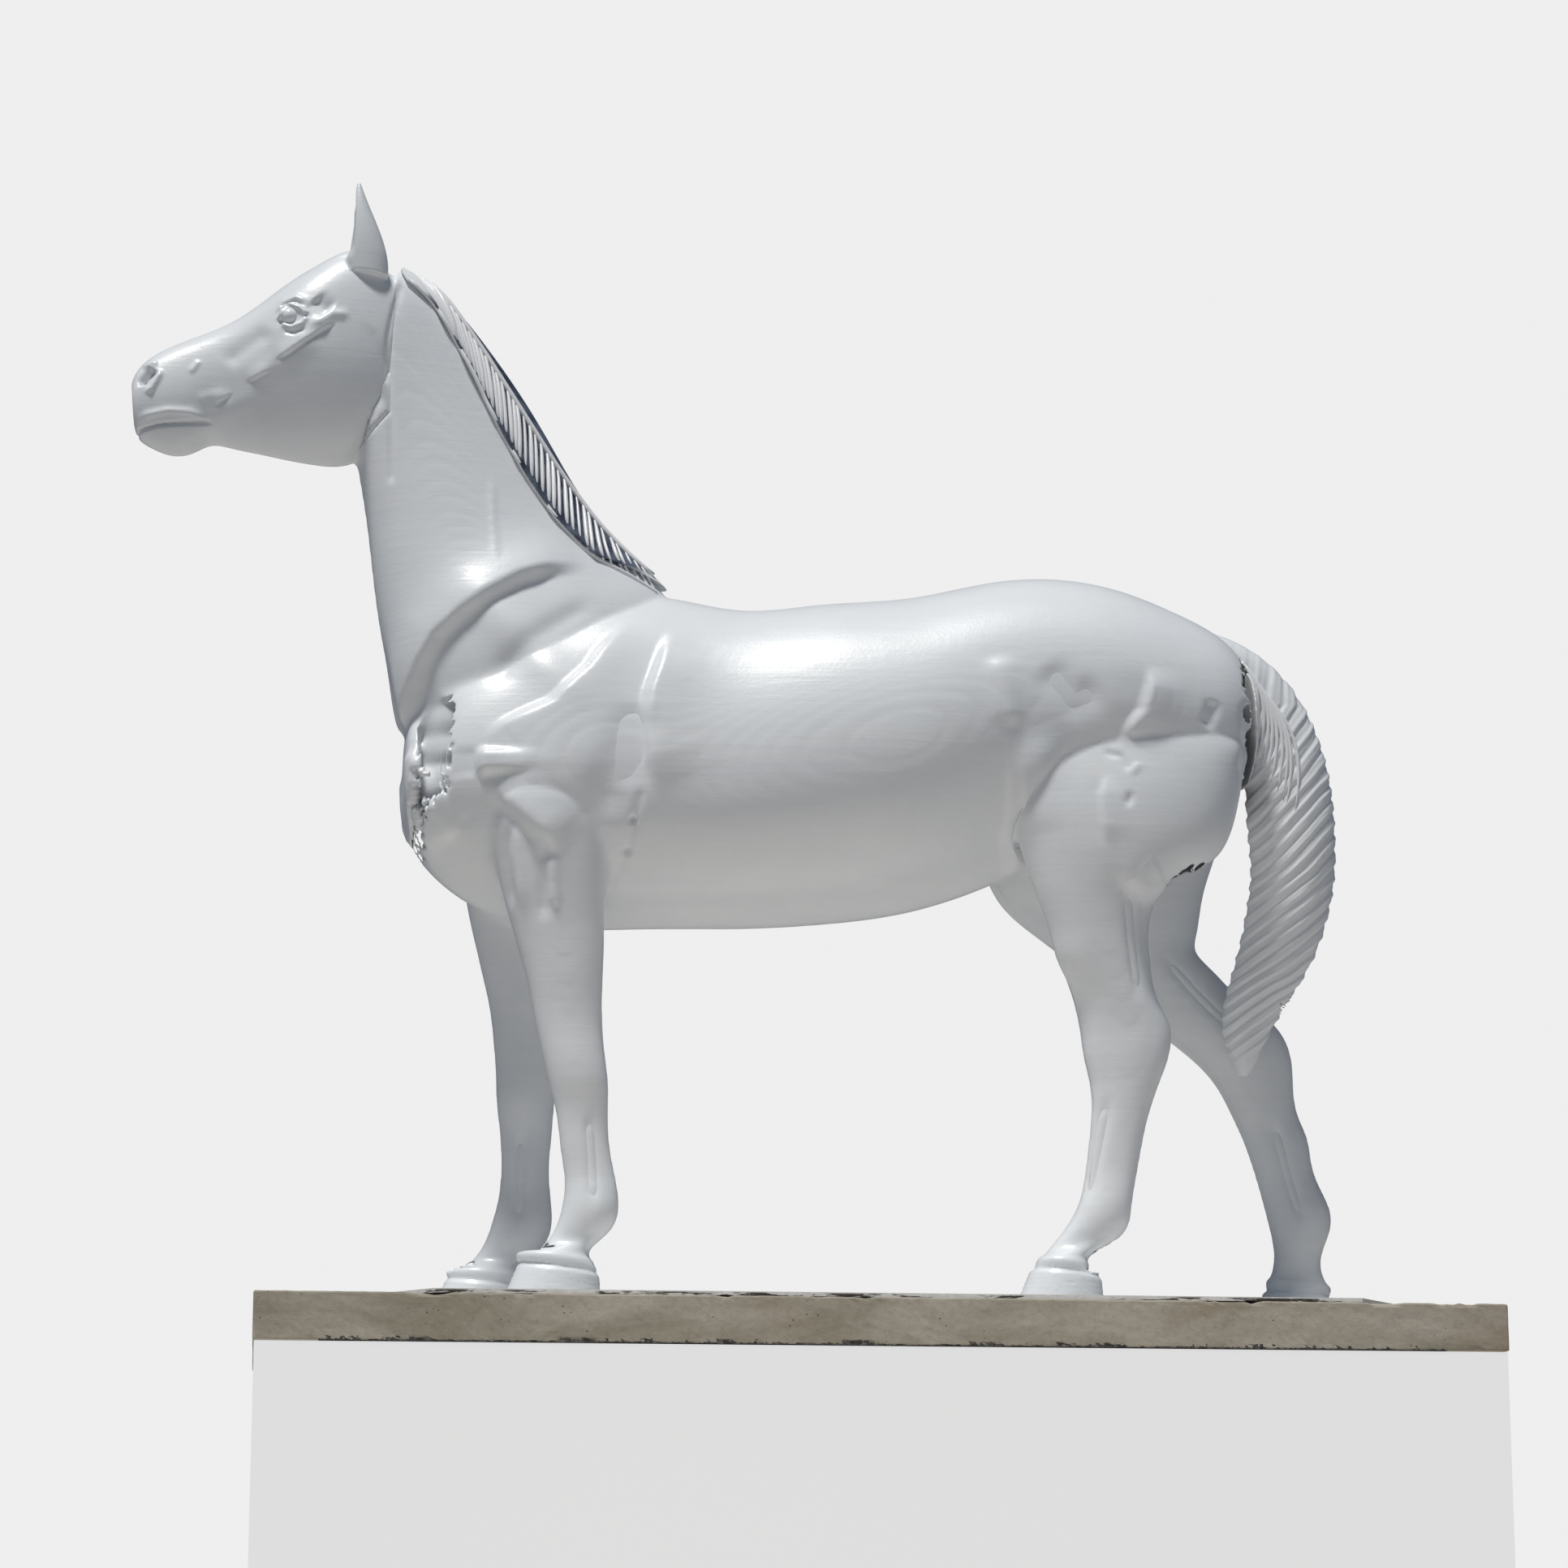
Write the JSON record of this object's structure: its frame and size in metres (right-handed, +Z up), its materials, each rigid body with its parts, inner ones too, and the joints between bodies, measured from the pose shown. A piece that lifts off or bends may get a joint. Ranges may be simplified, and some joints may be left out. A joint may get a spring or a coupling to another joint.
{
  "type": "horse statue",
  "caption": "Life-size standing horse statue in white painted glass-fibre mouldings, on a thin rectangular concrete slab.",
  "frame": {"origin": "middle of the slab's underside, on the surface the slab rests on", "axes": "+Z up, the horse faces -X, its left side is -Y"},
  "size_m": [2.688, 0.84, 2.391],
  "materials": {
    "painted_grp": "satin white paint, weathered",
    "concrete": "rough cast concrete",
    "mortar": "rough, damp and dark",
    "base_paint": "chipped white paint",
    "steel": "galvanised",
    "plywood": "plain",
    "raw_grp": "rough laminate"
  },
  "bodies": {
    "root": {"base_slab": "concrete", "slab_reinforcement": "steel", "mortar_bed": "mortar", "base_plate": "base_paint", "plate_anchors": "steel", "rod_washers": "steel", "rod_nuts": "steel", "left_fore_rod": "steel", "right_fore_rod": "steel", "left_hind_rod": "steel", "right_hind_rod": "steel", "fore_crossbar": "steel", "hind_crossbar": "steel", "spine_beam": "steel", "neck_post": "steel", "head_stay": "steel", "tail_rod": "steel", "former_1": "plywood", "former_2": "plywood", "former_3": "plywood", "girth_tape": "raw_grp", "loin_tape": "raw_grp", "left_forehand": "painted_grp", "left_barrel": "painted_grp", "left_hindquarter": "painted_grp", "left_neck": "painted_grp", "left_head": "painted_grp", "left_ear": "painted_grp", "left_eye": "painted_grp", "left_foreleg": "painted_grp", "left_hindleg": "painted_grp", "left_fore_hoof": "painted_grp", "left_hind_hoof": "painted_grp", "right_forehand": "painted_grp", "right_barrel": "painted_grp", "right_hindquarter": "painted_grp", "right_neck": "painted_grp", "right_head": "painted_grp", "right_ear": "painted_grp", "right_eye": "painted_grp", "right_foreleg": "painted_grp", "right_hindleg": "painted_grp", "right_fore_hoof": "painted_grp", "right_hind_hoof": "painted_grp", "mane": "painted_grp", "tail": "painted_grp"}
  },
  "joints": []
}
